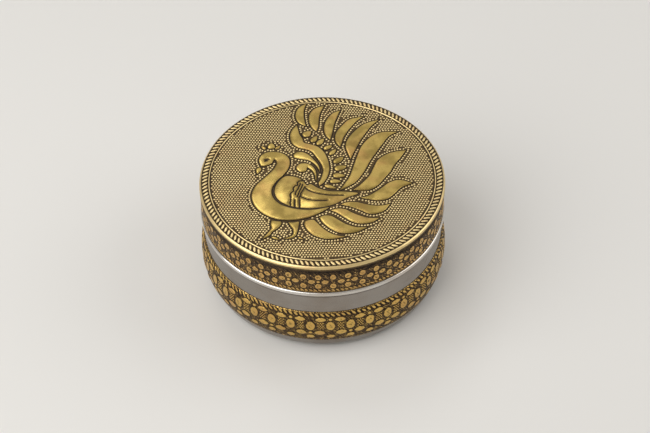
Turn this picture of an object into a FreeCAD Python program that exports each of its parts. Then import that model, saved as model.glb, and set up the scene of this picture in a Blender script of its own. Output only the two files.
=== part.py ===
import FreeCAD, Part
import math
import os

V = FreeCAD.Vector

# A round pressed steel box for dry fruit, about six inches across, clad in stamped brass.
# The table is z = 0 and the peacock on the lid faces -X when the box is seen from -Y.

# Driving dimensions, millimetres
STEEL = 0.6               # sheet of the lid and the bowl
BRASS = 0.4               # stamped sheet, before its raised work
STAMP_RISE = 0.4          # height of the flowers on the two side strips
RELIEF_RISE = 0.8         # height of the bird above the field of the lid

FOOT_R = 66.5             # flat of the bowl that stands on the table
PANEL_R = 58.0            # panel inside the foot, pressed up
PANEL_RISE = 0.8
CORNER_R = 9.4            # bend between the foot and the belly
BELLY_R = 77.8            # widest steel, at BELLY_Z
BELLY_Z = 20.5
BELLY_FOOT_Z = 7.5        # where the corner runs into the belly
WALL_R = 75.6             # plain upright wall above the brass strip
WALL_FOOT_Z = 36.0
LEDGE_Z = 50.4            # ledge that the lid comes down to
LEDGE_BEND = 0.9
NECK_R = 74.3             # collar that the lid slides over
NECK_TOP_Z = 60.0

BASE_STRIP_Z = (11.2, 35.8)
ROPE_Z = (33.0, 35.2)     # roped edge of the base strip
SEAM_GAP_DEG = 0.25       # butt gap where the ends of a strip meet
SEAM_AT_DEG = 135.0       # at the back left

LID_R = 75.2              # outside of the steel lid
LID_TOP_Z = 75.4          # steel, under the brass
LID_BEND = 1.8
CURL_W = 2.2              # rolled edge of the lid, across
CURL_H = 3.1              # and in height
LID_FOOT_Z = 50.75        # underside of the rolled edge

LID_STRIP_Z = (53.95, 73.6)
LID_MARGIN_Z = 72.2       # above this the lid strip is plain and tucked under the top sheet

RIM_R = 76.1              # outside of the turned-down edge of the top sheet
RIM_BEND = 2.0
RIM_RISE = 0.2            # the rim stands this much above the field
RIM_FOOT_Z = 72.8
BEAD_R = 70.0             # fine bead round the field
BEAD_W = 0.9
BEAD_RISE = 0.5
ROPE_R = (71.3, 74.0)     # roped ring between the bead and the rim
ROPE_RISE = 0.45
ROPE_EDGE = 0.5

TRAY_R = 72.9             # loose tray, passes the neck with 0.8 all round
TRAY_SHEET = 0.5
TRAY_BEND = 6.0
TRAY_FOOT_Z = 1.7
TRAY_TOP_Z = 56.0
HEM_H = 2.5               # top edge of the tray, folded in double
DIVIDER_T = 0.8
DIVIDER_TOP_Z = 54.6
DIVIDER_GAP = 0.25        # between a divider and the tray wall
SLOT_W = 0.9              # half-lap slots of the dividers

BEND_STEPS = 2            # short cones that stand for a bend in the sheet
CORNER_STEPS = 3
CURL_STEPS = 4
BELLY_STEPS = 3

BRASS_TOP_Z = LID_TOP_Z + BRASS


def spin(outline, seam=0.0):
    """Turn a closed half profile, given as r, z corners, round the upright axis. A seam, in
    degrees, is the fine butt gap left between the two ends of a bent strip."""
    corners = [V(r, 0, z) for r, z in outline]
    profile = Part.Face(Part.makePolygon(corners + corners[:1]))
    if seam:
        profile.rotate(V(0, 0, 0), V(0, 0, 1), SEAM_AT_DEG + seam / 2)
    return profile.revolve(V(0, 0, 0), V(0, 0, 1), 360 - seam)


def bend(centre, radius, start, end, steps):
    """Points along an arc of the half plane, angles in degrees from outwards to up."""
    turns = [math.radians(start + (end - start) * i / steps) for i in range(steps + 1)]
    return [(centre[0] + radius * math.cos(a), centre[1] + radius * math.sin(a)) for a in turns]


def arc_through(p, q, s):
    """Centre and radius of the circle through three points of the half plane."""
    ax, ay = q[0] - p[0], q[1] - p[1]
    bx, by = s[0] - p[0], s[1] - p[1]
    d = 2 * (ax * by - ay * bx)
    a2, b2 = ax * ax + ay * ay, bx * bx + by * by
    ux, uy = (by * a2 - ay * b2) / d, (ax * b2 - bx * a2) / d
    return (p[0] + ux, p[1] + uy), math.hypot(ux, uy)


CORNER_C = (FOOT_R, CORNER_R)
BELLY_START = (FOOT_R + math.sqrt(CORNER_R ** 2 - (CORNER_R - BELLY_FOOT_Z) ** 2), BELLY_FOOT_Z)
BELLY_C, BELLY_ARC_R = arc_through(BELLY_START, (BELLY_R, BELLY_Z), (WALL_R, WALL_FOOT_Z))


def bowl_r(z):
    """Outside radius of the bowl between the foot of the belly and the neck."""
    if z >= WALL_FOOT_Z:
        return WALL_R
    return BELLY_C[0] + math.sqrt(BELLY_ARC_R ** 2 - (z - BELLY_C[1]) ** 2)


def belly(z0, z1, off):
    """Points up the barrel belly, moved out by off, close enough for the bowl and its strip to nest."""
    return [(bowl_r(z0 + (z1 - z0) * i / BELLY_STEPS) + off, z0 + (z1 - z0) * i / BELLY_STEPS)
            for i in range(BELLY_STEPS + 1)]


def bowl_skin(off):
    """The bowl's outside from its foot to the top of the wall, moved in by off."""
    join = math.degrees(math.asin((BELLY_FOOT_Z - CORNER_R) / CORNER_R))
    corner = bend(CORNER_C, CORNER_R - off, -90, join, CORNER_STEPS)
    barrel = belly(BASE_STRIP_Z[0], BASE_STRIP_Z[1], -off)
    return corner + barrel + [(WALL_R - off, LEDGE_Z - off - LEDGE_BEND)]


def base_bowl():
    """Pressed bowl: stepped-up bottom panel, barrel belly, plain wall, ledge and neck."""
    t = STEEL
    step = PANEL_R + PANEL_RISE
    outside = [(0, PANEL_RISE), (PANEL_R, PANEL_RISE), (step, 0)] + bowl_skin(0)
    outside += [(WALL_R - LEDGE_BEND, LEDGE_Z), (NECK_R, LEDGE_Z), (NECK_R, NECK_TOP_Z)]
    inside = [(0, PANEL_RISE + t), (PANEL_R, PANEL_RISE + t), (step, t)] + bowl_skin(t)
    inside += [(WALL_R - t - LEDGE_BEND, LEDGE_Z - t), (NECK_R - t, NECK_TOP_Z)]
    return spin(outside + inside[::-1])


def base_side_strip():
    """Stamped brass round the belly: its outside is the crown of the raised flowers, with the
    roped upper edge and plain margins standing lower."""
    z0, z1 = BASE_STRIP_Z
    rope0, rope1 = ROPE_Z
    over = BRASS + STAMP_RISE
    crown = [p for p in belly(z0, z1, over) if z0 < p[1] < rope0]
    outside = [(bowl_r(z0) + BRASS, z0)] + crown + [
        (bowl_r(rope0) + BRASS, rope0),
        (bowl_r((rope0 + rope1) / 2) + over, (rope0 + rope1) / 2),
        (bowl_r(rope1) + BRASS, rope1),
        (bowl_r(z1) + BRASS, z1),
    ]
    return spin(outside + belly(z0, z1, 0)[::-1], SEAM_GAP_DEG)


def lid_pan():
    """Pressed lid: flat top, bent corner, straight skirt and an outward rolled edge."""
    t, b = STEEL, LID_BEND
    r, top = LID_R, LID_TOP_Z
    half = CURL_W / 2
    curl_r = r - t + half
    low, high = LID_FOOT_Z + half, LID_FOOT_Z + CURL_H - half
    bend_c = (r - b, top - b)
    mouth = 75                      # the curl turns this far past level before it stops
    skirt = [(0, top)] + bend(bend_c, b, 90, 0, BEND_STEPS)
    curl_in = bend((curl_r, low), half - t, -180, 0, BEND_STEPS)
    curl_in += bend((curl_r, high), half - t, 0, mouth, 1)
    curl_out = bend((curl_r, high), half, mouth, 0, BEND_STEPS)
    curl_out += bend((curl_r, low), half, 0, -180, CURL_STEPS)
    inner = bend(bend_c, b - t, 0, 90, 1) + [(0, top - t)]
    return spin(skirt + curl_in + curl_out + inner)


def lid_side_strip():
    """Stamped brass round the skirt: plain margin under the top sheet, raised work below it."""
    z0, z1 = LID_STRIP_Z
    bare, over = LID_R + BRASS, LID_R + BRASS + STAMP_RISE
    outline = [(LID_R, z0), (over, z0), (over, LID_MARGIN_Z), (bare, LID_MARGIN_Z), (bare, z1), (LID_R, z1)]
    return spin(outline, SEAM_GAP_DEG)


def top_blank():
    """The round top sheet before the bird is struck: bead ring, roped ring, turned-down rim."""
    z, low = BRASS_TOP_Z, LID_TOP_Z
    rope0, rope1 = ROPE_R
    bend_c = (RIM_R - RIM_BEND, z + RIM_RISE - RIM_BEND)
    outside = [
        (0, z), (BEAD_R - BEAD_W / 2, z), (BEAD_R, z + BEAD_RISE), (BEAD_R + BEAD_W / 2, z),
        (rope0, z), (rope0 + ROPE_EDGE, z + ROPE_RISE), (rope1 - ROPE_EDGE, z + ROPE_RISE), (rope1, z),
    ]
    outside += bend(bend_c, RIM_BEND, 90, 0, BEND_STEPS) + [(RIM_R, RIM_FOOT_Z)]
    inside = [(RIM_R - BRASS, RIM_FOOT_Z)] + bend(bend_c, RIM_BEND - BRASS, 0, 90, 1)
    return spin(outside + inside + [(bend_c[0], low), (0, low)])


# The bird, seen from above in millimetres from the middle of the lid. A feather is its two
# edges from root to tip, each an odd number of points; other pieces are closed outlines.
FEATHERS = [
    # the tail, from the uppermost feather round to the lowest
    ([(-9.6, 46.4), (-13, 48.3), (-15.4, 51.2), (-16.7, 56), (-16, 61.6), (-13.6, 65.8), (-9, 69)],
     [(-9.6, 46.4), (-10.5, 51.5), (-11, 57.5), (-10.6, 63.5), (-9, 69)]),
    ([(-3, 41), (-5.6, 44.2), (-7.4, 48.4), (-8.1, 53), (-7.3, 58.6), (-4, 63.6), (2.6, 66.8)],
     [(-3, 41), (-1.7, 46), (-1.4, 51.5), (-0.4, 58.5), (2.6, 66.8)]),
    ([(5.6, 33), (3, 36.6), (1.8, 41), (1.8, 46.4), (3.4, 52.4), (7.2, 58.4), (12.8, 61.6)],
     [(5.6, 33), (6.7, 37.4), (7.6, 42.6), (9.2, 50.6), (12.8, 61.6)]),
    ([(11.8, 26), (9.2, 30.4), (8.5, 35.4), (9.8, 41), (13.2, 46.6), (18.6, 52.6), (28.4, 55.2)],
     [(11.8, 26), (13.1, 30.5), (14.4, 35.6), (17.4, 41.8), (20.8, 47.4), (24, 51.6), (28.4, 55.2)]),
    ([(18, 14.4), (16.2, 20.6), (15, 26.6), (16.2, 32.6), (20, 39.5), (27.4, 47.6), (38, 52)],
     [(18, 14.4), (20, 20.2), (22.2, 25.8), (25, 32.4), (28.8, 39.6), (32.4, 45.6), (38, 52)]),
    ([(10.4, -12.6), (14.3, -5.6), (17, 0), (19.4, 9.2), (22, 17.4), (25.2, 26.8), (31, 35.2),
      (38.6, 39.6), (49.2, 39.6)],
     [(10.4, -12.6), (16, -9.4), (21.4, -4.6), (26.6, 4.4), (30.6, 13.6), (34.8, 21.4), (39.2, 29.2),
      (43.2, 35.6), (49.2, 39.6)]),
    ([(18.6, -12.4), (22.6, -8.6), (26.2, -4.2), (29.6, 1), (32, 7.2), (34.8, 13.6), (40, 18.6),
      (46.6, 21.4), (53.4, 22.4)],
     [(18.6, -12.4), (24.4, -13.1), (29.6, -12.4), (34.6, -8.4), (38.8, -2.4), (42.6, 3.2), (45.6, 9.6),
      (49.6, 15.6), (53.4, 22.4)]),
    ([(22.4, -19.4), (28, -17.4), (33, -13.8), (37.4, -9.8), (41.8, -6), (48, -4.3), (55.8, -7.4)],
     [(22.4, -19.4), (28.4, -21), (34.4, -22), (39.8, -20.6), (44.4, -16), (48.8, -11), (55.8, -7.4)]),
    ([(10.4, -25), (14.4, -22.9), (20, -22.7), (26, -24.6), (31, -26), (36, -26.1), (41.4, -24.6)],
     [(10.4, -25), (16.6, -26.8), (22.6, -29.9), (26.6, -32.6), (31, -33.3), (37, -30.8), (41.4, -24.6)]),
    ([(4.4, -29.6), (8.6, -28), (13.6, -28.7), (18.4, -32), (23, -34.6), (28, -36.4), (34.4, -36.6)],
     [(4.4, -29.6), (8.4, -31.8), (12.8, -35.8), (17, -39.3), (22.4, -41.2), (29, -40.4), (34.4, -36.6)]),
    ([(-2.4, -35), (1, -33.6), (5.2, -34.2), (9.6, -37.9), (14, -41.2), (20, -43.8), (27, -44)],
     [(-2.4, -35), (-1, -38.6), (1.6, -42.2), (5.6, -46), (11.4, -48.8), (19.4, -48.2), (27, -44)]),
    ([(-8.4, -37.2), (-5.6, -37), (-3.2, -39.8), (0, -44.2), (4, -48), (8.6, -50.4), (14.4, -51.6)],
     [(-8.4, -37.2), (-10.8, -38.4), (-11.2, -41.6), (-9.2, -46.2), (-4.6, -50.8), (3.6, -53.4),
      (14.4, -51.6)]),
    # three plumes that curl up from the back
    ([(-15.6, 48.2), (-18.8, 43.2), (-20.1, 37.4), (-19, 31), (-15.2, 26.6), (-10.6, 24.8), (-6.6, 22.6),
      (-3.4, 17), (-0.8, 11.4), (0.5, 5), (-1, -2.2), (-2.4, -5.6), (-2, -8.8)],
     [(-15.6, 48.2), (-14.6, 43.4), (-13.8, 39), (-12, 35), (-10.9, 31.2), (-6.4, 29.3), (-2, 26.8),
      (1.8, 21.6), (4, 14.6), (4.8, 7.4), (3.9, 1.2), (1.4, -4.8), (-2, -8.8)]),
    ([(-18, 20.4), (-15.4, 22.5), (-11.6, 22.2), (-7.8, 19.4), (-4.6, 14.8), (-1.8, 9.4), (-0.9, 2.8)],
     [(-18, 20.4), (-17.4, 17.4), (-13.6, 15.9), (-8.4, 14.5), (-4.8, 11.2), (-2.5, 7), (-0.9, 2.8)]),
    ([(-8.9, 8.2), (-10.2, 4.8), (-13.6, 4.3), (-16.2, 7.6), (-14.4, 11.4), (-10, 12), (-6.2, 9.7),
      (-3.6, 4.4), (-3.4, -4.8)],
     [(-8.9, 8.2), (-6.2, 5), (-4.7, 1.2), (-4.4, -1.8), (-3.4, -4.8)]),
    # the beak, the two thighs and the lines of the feet
    ([(-38.6, 9.6), (-41.2, 7.2), (-40.3, 2.6)], [(-38.6, 9.6), (-37.6, 6.9), (-40.3, 2.6)]),
    ([(-31, -36.9), (-31, -41), (-28.4, -45)],
     [(-31, -36.9), (-27.4, -37.8), (-24.2, -38.2), (-25, -41.6), (-28.4, -45)]),
    ([(-21, -38.7), (-19.4, -42.8), (-17.6, -47.6)],
     [(-21, -38.7), (-17.8, -38.9), (-14.4, -38.5), (-15.2, -43), (-17.6, -47.6)]),
    ([(-28.6, -45.6), (-32.4, -49.6), (-38.4, -53)], [(-28.6, -45.6), (-31.5, -48.3), (-38.4, -53)]),
    ([(-30.4, -49.4), (-29, -51), (-25.4, -52.8)], [(-30.4, -49.4), (-28.1, -50.2), (-25.4, -52.8)]),
    ([(-17.8, -48.2), (-20.2, -51), (-23.8, -52.2)], [(-17.8, -48.2), (-19.4, -49.9), (-23.8, -52.2)]),
    ([(-16.8, -49), (-15.6, -51.4), (-12.4, -52.6)], [(-16.8, -49), (-14.6, -50.4), (-12.4, -52.6)]),
]

BODY = [
    (-38.4, 11), (-39.6, 15.6), (-37.8, 20.4), (-33.4, 23), (-28, 22.8), (-22.6, 20), (-20, 14.8),
    (-20.6, 8), (-23.8, 2), (-28, -3.4), (-30.6, -9), (-30.8, -15), (-28, -21), (-22.6, -25.4),
    (-14, -28.2), (-5, -28.6), (4, -27), (-4, -33), (-12, -36.2), (-20.6, -37.2), (-29, -35.6),
    (-36.4, -31), (-41.6, -24), (-43.4, -15.6), (-41.2, -7.4), (-35.6, 0), (-31, 6), (-28.4, 12),
    (-29.6, 16), (-31.4, 12.4), (-35, 10.2), (-37, 10.2),
]

WING = [
    (-22, 1.4), (-26.2, -2.4), (-29, -8.6), (-29, -15.2), (-25.8, -21), (-19.4, -25.2), (-10, -27.2),
    (0, -26.6), (8, -23.8), (14.6, -19.2), (22, -15.2), (14, -13.4), (4, -12.6), (-4, -9), (-8.6, -5.4),
    (-12.4, -8), (-15.6, -3), (-18, 0.6),
]

# Dots and scales: middle, half length, half width, turn in degrees
SCALES = [
    (-10, 41.5, 3.0, 2.0, 80), (-4.6, 36, 3.0, 2.1, 55), (-1, 31.4, 2.6, 1.5, 30),
    (7.4, 23.4, 3.0, 1.5, 58), (10.4, 16.4, 3.2, 2.4, 62), (11.4, 8.6, 3.4, 2.7, 5),
    (10.2, 1.2, 3.4, 2.0, -8), (8.4, -4, 3.4, 1.6, -22), (5.4, -9, 3.2, 1.6, -30),
    (-31.8, 28.4, 2.8, 2.4, 90), (-36.8, 27, 2.2, 1.1, 135), (-27.6, 27, 2.2, 1.1, 45),
]


def arcs(points):
    """Arcs through an odd number of points, each arc taking the next three."""
    spans = zip(points[0:-2:2], points[1:-1:2], points[2::2])
    return [Part.Arc(*span).toShape() for span in spans]


def feather(left, right):
    """A leaf-shaped face between two edges that run from one root to one tip."""
    edges = [arcs([V(x, y, 0) for x, y in side]) for side in (left, right)]
    return Part.Face(Part.Wire(edges[0] + edges[1][::-1]))


def closed_face(outline):
    """A closed face whose edge runs in arcs through an even number of points."""
    points = [V(x, y, 0) for x, y in outline]
    return Part.Face(Part.Wire(arcs(points + points[:1])))


def scale_face(x, y, half_long, half_wide, turn):
    """A small oval lying at a slant."""
    oval = Part.Ellipse(V(0, 0, 0), half_long, half_wide).toShape()
    oval.rotate(V(0, 0, 0), V(0, 0, 1), turn)
    oval.translate(V(x, y, 0))
    return Part.Face(Part.Wire(oval))


def bird():
    """Every raised plate of the peacock, as upright-sided pads sunk a little into the sheet."""
    faces = [feather(left, right) for left, right in FEATHERS]
    faces += [closed_face(BODY), closed_face(WING)]
    faces += [scale_face(*scale) for scale in SCALES]
    sink = BRASS / 2
    pads = []
    for face in faces:
        face.translate(V(0, 0, BRASS_TOP_Z - sink))
        pads.append(face.extrude(V(0, 0, RELIEF_RISE + sink)))
    return pads


def lid_top_sheet():
    """Stamped brass top: the blank with the peacock struck up from it."""
    pads = bird()
    return top_blank().fuse(pads).removeSplitter()


def insert_tray():
    """Loose steel tray: flat bottom, bent corner, upright wall with its edge folded in."""
    t, b = TRAY_SHEET, TRAY_BEND
    r, low, top = TRAY_R, TRAY_FOOT_Z, TRAY_TOP_Z
    bend_c = (r - b, low + b)
    fold = r - 2 * t
    outside = [(0, low)] + bend(bend_c, b, -90, 0, CORNER_STEPS) + [(r, top)]
    inside = [(fold, top), (fold, top - HEM_H), (r - t, top - HEM_H)]
    inside += bend(bend_c, b - t, 0, -90, CORNER_STEPS) + [(0, low + t)]
    return spin(outside + inside)


def divider(slot_from_top):
    """A steel plate across the tray, its lower corners bent to the tray, slotted to half height."""
    low = TRAY_FOOT_Z + TRAY_SHEET
    half = TRAY_R - 2 * TRAY_SHEET - DIVIDER_GAP
    b = TRAY_BEND + 1.5
    right = bend((half - b, low + b), b, -90, 0, CORNER_STEPS) + [(half, DIVIDER_TOP_Z)]
    outline = right + [(-x, z) for x, z in right[::-1]]
    corners = [V(x, -DIVIDER_T / 2, z) for x, z in outline]
    plate = Part.Face(Part.makePolygon(corners + corners[:1])).extrude(V(0, DIVIDER_T, 0))
    height = (DIVIDER_TOP_Z - low) / 2
    slot_foot = low + height if slot_from_top else low
    slot = Part.makeBox(SLOT_W, 2 * DIVIDER_T, height, V(-SLOT_W / 2, -DIVIDER_T, slot_foot))
    return plate.cut(slot)


def partition_long():
    return divider(slot_from_top=True)


def partition_cross():
    plate = divider(slot_from_top=False)
    plate.rotate(V(0, 0, 0), V(0, 0, 1), 90)
    return plate


PIECES = {
    "base_bowl": base_bowl,
    "base_side_strip": base_side_strip,
    "lid_pan": lid_pan,
    "lid_top_sheet": lid_top_sheet,
    "lid_side_strip": lid_side_strip,
    "insert_tray": insert_tray,
    "partition_long": partition_long,
    "partition_cross": partition_cross,
}

os.makedirs("parts", exist_ok=True)
for name, make in PIECES.items():
    shape = make()
    if len(shape.Solids) != 1 or not shape.isValid():
        raise SystemExit(f"{name}: {len(shape.Solids)} solids, valid {shape.isValid()}")
    solid = shape.Solids[0]
    solid.exportStep(f"parts/{name}.step")
    box = solid.BoundBox
    print(f"{name:16s} volume {solid.Volume:9.0f}  r {box.XMax:6.2f}  z {box.ZMin:6.2f} to {box.ZMax:6.2f}")
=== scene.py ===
import math

import bmesh
import bpy
from mathutils import Matrix, Vector, geometry, kdtree


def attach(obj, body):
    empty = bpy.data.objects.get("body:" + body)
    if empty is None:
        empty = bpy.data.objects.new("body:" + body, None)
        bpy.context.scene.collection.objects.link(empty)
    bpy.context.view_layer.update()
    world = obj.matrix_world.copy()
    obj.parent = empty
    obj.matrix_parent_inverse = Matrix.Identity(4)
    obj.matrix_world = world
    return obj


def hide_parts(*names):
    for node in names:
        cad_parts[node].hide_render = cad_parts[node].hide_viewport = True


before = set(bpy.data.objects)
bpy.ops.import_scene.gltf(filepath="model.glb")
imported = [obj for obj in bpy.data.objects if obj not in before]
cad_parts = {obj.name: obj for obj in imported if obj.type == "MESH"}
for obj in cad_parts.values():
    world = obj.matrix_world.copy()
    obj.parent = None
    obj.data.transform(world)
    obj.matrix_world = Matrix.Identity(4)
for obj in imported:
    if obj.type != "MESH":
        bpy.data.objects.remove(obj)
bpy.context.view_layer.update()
scene = bpy.context.scene
MM = 0.001


# The camera of the photograph, worked out from the rings of the lid: a long lens held low
# enough to show the lid's top and its side together.
FOCAL_PIXELS = 1321.8
PHOTO_SIZE = (650, 433)
LID_CENTRE_PIXEL = (322.11, 176.06)
CAMERA_ELEVATION = math.radians(44.10)
CAMERA_ROLL = math.radians(-1.114)
CAMERA_DISTANCE = 0.8177
SENSOR_WIDTH = 36.0
lid_centre = Vector((0, 0, 0.0763))

camera_data = bpy.data.cameras.new("camera")
camera_data.sensor_width = SENSOR_WIDTH
camera_data.lens = FOCAL_PIXELS * SENSOR_WIDTH / PHOTO_SIZE[0]
camera = bpy.data.objects.new("camera", camera_data)
scene.collection.objects.link(camera)
scene.camera = camera

away = Vector((0, -math.cos(CAMERA_ELEVATION), math.sin(CAMERA_ELEVATION)))
right, down = Vector((1, 0, 0)), Vector((0, -math.sin(CAMERA_ELEVATION), -math.cos(CAMERA_ELEVATION)))
aimed = Matrix((right, down, -away))
ray = Vector(((LID_CENTRE_PIXEL[0] - PHOTO_SIZE[0] / 2) / FOCAL_PIXELS,
              (LID_CENTRE_PIXEL[1] - PHOTO_SIZE[1] / 2) / FOCAL_PIXELS, 1)).normalized()
swing = Vector((0, 0, 1)).rotation_difference(ray).to_matrix()
rows = Matrix.Rotation(CAMERA_ROLL, 3, ray) @ swing @ aimed
axes = Matrix((rows[0], -rows[1], -rows[2])).transposed().to_4x4()
camera.matrix_world = Matrix.Translation(lid_centre + CAMERA_DISTANCE * away) @ axes


# The table and the studio: a pale matt floor, one broad soft lamp at the front left, a wide
# weak one at the right and a low back lamp, so that the round metal shows soft bands.
FLOOR_HEX = "#E9E7E3"
FLOOR_SIZE = 8.0


def linear(hex_colour):
    """An sRGB hex colour as the linear RGBA that shaders take."""
    parts = [int(hex_colour[i:i + 2], 16) / 255 for i in (1, 3, 5)]
    return tuple(c / 12.92 if c <= 0.04045 else ((c + 0.055) / 1.055) ** 2.4 for c in parts) + (1.0,)


def add(tree, kind, links=None, values=None, **settings):
    """A new node with its settings, its socket values and what feeds its sockets."""
    node = tree.nodes.new(kind)
    for name, value in settings.items():
        setattr(node, name, value)
    for socket, value in (values or {}).items():
        node.inputs[socket].default_value = value
    for socket, source in (links or {}).items():
        tree.links.new(source, node.inputs[socket])
    return node


def new_material(name):
    """A new node material, emptied, and its node tree."""
    material = bpy.data.materials.new(name)
    material.use_nodes = True
    material.node_tree.nodes.clear()
    return material, material.node_tree


def mesh_object(name, points, faces, attribute=None):
    """An object at the origin from points in millimetres, with a value per point called rise."""
    mesh = bpy.data.meshes.new(name)
    mesh.from_pydata([(x * MM, y * MM, z * MM) for x, y, z in points], [], faces)
    if attribute:
        mesh.attributes.new("rise", "FLOAT", "POINT").data.foreach_set("value", attribute)
    mesh.shade_smooth()
    mesh.update()
    obj = bpy.data.objects.new(name, mesh)
    scene.collection.objects.link(obj)
    return obj


def seen_straight(tree):
    """1 for what the camera sees, straight or in metal, and 0 for the light that things get."""
    seen = add(tree, "ShaderNodeLightPath").outputs
    either = add(tree, "ShaderNodeMath", {0: seen["Is Camera Ray"], 1: seen["Is Glossy Ray"]}, operation="MAXIMUM")
    return add(tree, "ShaderNodeMath", {0: either.outputs[0], 1: seen["Is Transmission Ray"]},
               operation="MAXIMUM").outputs[0]


# The floor is matt paint; far from the lamps it is shown as pale as near them.
floor_material, tree = new_material("matt_studio_floor")
matt = add(tree, "ShaderNodeBsdfDiffuse", values={"Color": linear(FLOOR_HEX)})
from_middle = add(tree, "ShaderNodeVectorMath", {0: add(tree, "ShaderNodeTexCoord").outputs["Object"]},
                  operation="LENGTH")
far = add(tree, "ShaderNodeMapRange", {"Value": from_middle.outputs["Value"]},
          {"From Min": 0.6, "From Max": 2.4, "To Min": 0.0, "To Max": 0.3}, interpolation_type="SMOOTHSTEP")
pale = add(tree, "ShaderNodeMath", {0: far.outputs[0], 1: seen_straight(tree)}, operation="MULTIPLY")
glow = add(tree, "ShaderNodeEmission", {"Strength": pale.outputs[0]}, {"Color": linear(FLOOR_HEX)})
both = add(tree, "ShaderNodeAddShader", {0: matt.outputs[0], 1: glow.outputs[0]})
add(tree, "ShaderNodeOutputMaterial", {"Surface": both.outputs[0]})
edge = FLOOR_SIZE / 2 / MM
under = -0.01                     # just clear of the foot that rests on it
floor = mesh_object("floor", [(-edge, -edge, under), (edge, -edge, under), (edge, edge, under), (-edge, edge, under)],
                    [(0, 1, 2, 3)])
floor.data.materials.append(floor_material)

world = bpy.data.worlds.new("studio")
scene.world = world
world.use_nodes = True
world.node_tree.nodes.clear()
sky = add(world.node_tree, "ShaderNodeBackground",
          values={"Color": linear("#D8D5D0"), "Strength": 0.45})
backdrop = add(world.node_tree, "ShaderNodeBackground",
               values={"Color": linear("#C1BEB9"), "Strength": 1.0})
mixed = add(world.node_tree, "ShaderNodeMixShader",
            {0: seen_straight(world.node_tree), 1: sky.outputs[0], 2: backdrop.outputs[0]})
add(world.node_tree, "ShaderNodeOutputWorld", {"Surface": mixed.outputs[0]})


def soft_lamp(name, place, size, watts):
    """A square soft box aimed at the lid."""
    data = bpy.data.lights.new(name, "AREA")
    data.size = size
    data.energy = watts
    lamp = bpy.data.objects.new(name, data)
    scene.collection.objects.link(lamp)
    lamp.location = place
    lamp.rotation_euler = (lid_centre - Vector(place)).to_track_quat("-Z", "Y").to_euler()


soft_lamp("front_left_lamp", (-0.95, -0.56, 1.06), 1.7, 19.0)
soft_lamp("right_lamp", (1.05, 0.1, 0.8), 1.0, 4.5)
soft_lamp("back_panel", (0.2, 1.35, 1.15), 1.1, 1.5)
soft_lamp("upper_left_lamp", (-0.33, 0.74, 1.25), 0.48, 2.0)

scene.view_settings.view_transform = "Standard"


# The bowl: stainless steel sheet pressed and spun to a barrel with a plain upright wall, a
# ledge that the lid comes down to and a collar inside the lid, then polished on the lathe.
STEEL = 0.6
FOOT_R, PANEL_R, PANEL_RISE = 66.5, 58.0, 0.8
CORNER_R, BELLY_FOOT_Z = 9.4, 7.5
BELLY_R, BELLY_Z = 77.8, 20.5
WALL_R, WALL_FOOT_Z = 75.6, 36.0
LEDGE_Z, LEDGE_BEND = 50.4, 0.9
NECK_R, NECK_TOP_Z = 74.3, 60.0
TURNING_LINES_PER_MM = 5.0       # polishing lines, drawn coarser than the real tenth of a millimetre
ROUND_SIDES = 288


def bend(centre, radius, start, end, steps):
    """Points along an arc in the half plane, its angles in degrees from outwards to up."""
    turns = [math.radians(start + (end - start) * i / steps) for i in range(steps + 1)]
    return [(centre[0] + radius * math.cos(a), centre[1] + radius * math.sin(a)) for a in turns]


def circle_through(p, q, s):
    """Centre and radius of the circle through three points of the half plane."""
    ax, ay, bx, by = q[0] - p[0], q[1] - p[1], s[0] - p[0], s[1] - p[1]
    double = 2 * (ax * by - ay * bx)
    a2, b2 = ax * ax + ay * ay, bx * bx + by * by
    ux, uy = (by * a2 - ay * b2) / double, (ax * b2 - bx * a2) / double
    return (p[0] + ux, p[1] + uy), math.hypot(ux, uy)


def lathe(name, outline, rises=None, start=0.0, sweep=360.0):
    """Turn an outline of r, z points, given outside first and closed, round the upright axis.
    A strip with a seam sweeps less than a full turn and has its two ends closed."""
    whole = sweep > 359.99
    count = ROUND_SIDES if whole else ROUND_SIDES + 1
    points, rise, faces = [], [], []
    spans = len(outline)
    for i in range(count):
        a = math.radians(start + sweep * i / ROUND_SIDES)
        points += [(r * math.cos(a), r * math.sin(a), z) for r, z in outline]
        rise += rises or [0.0] * spans
    for i in range(ROUND_SIDES):
        here, there = i * spans, ((i + 1) % count) * spans
        for k in range(spans):
            nxt = (k + 1) % spans
            quad = [here + k, there + k, there + nxt, here + nxt]
            if outline[k][0] < 1e-6 and outline[nxt][0] < 1e-6:
                continue
            faces.append(quad)
    if not whole:
        faces.append(list(range(spans)))
        faces.append([ROUND_SIDES * spans + k for k in range(spans)][::-1])
    obj = mesh_object(name, points, faces, rise)
    weld(obj)
    return obj


def weld(obj):
    """Merge the points that meet on the axis, drop empty faces and point the faces outwards."""
    work = bmesh.new()
    work.from_mesh(obj.data)
    bmesh.ops.remove_doubles(work, verts=work.verts, dist=1e-7)
    bmesh.ops.dissolve_degenerate(work, edges=work.edges, dist=1e-8)
    bmesh.ops.recalc_face_normals(work, faces=work.faces)
    for face in work.faces:
        face.smooth = True
    work.to_mesh(obj.data)
    work.free()


def sharpen(obj, degrees):
    """Keep edges sharper than this crisp and the rest smooth."""
    obj.data.set_sharp_from_angle(angle=math.radians(degrees))


corner_centre = (FOOT_R, CORNER_R)
belly_start = (FOOT_R + math.sqrt(CORNER_R ** 2 - (CORNER_R - BELLY_FOOT_Z) ** 2), BELLY_FOOT_Z)
belly_centre, belly_arc = circle_through(belly_start, (BELLY_R, BELLY_Z), (WALL_R, WALL_FOOT_Z))


def bowl_r(z):
    """Outside radius of the steel between the foot of the belly and the neck."""
    if z >= WALL_FOOT_Z:
        return WALL_R
    return belly_centre[0] + math.sqrt(belly_arc ** 2 - (z - belly_centre[1]) ** 2)


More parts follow.
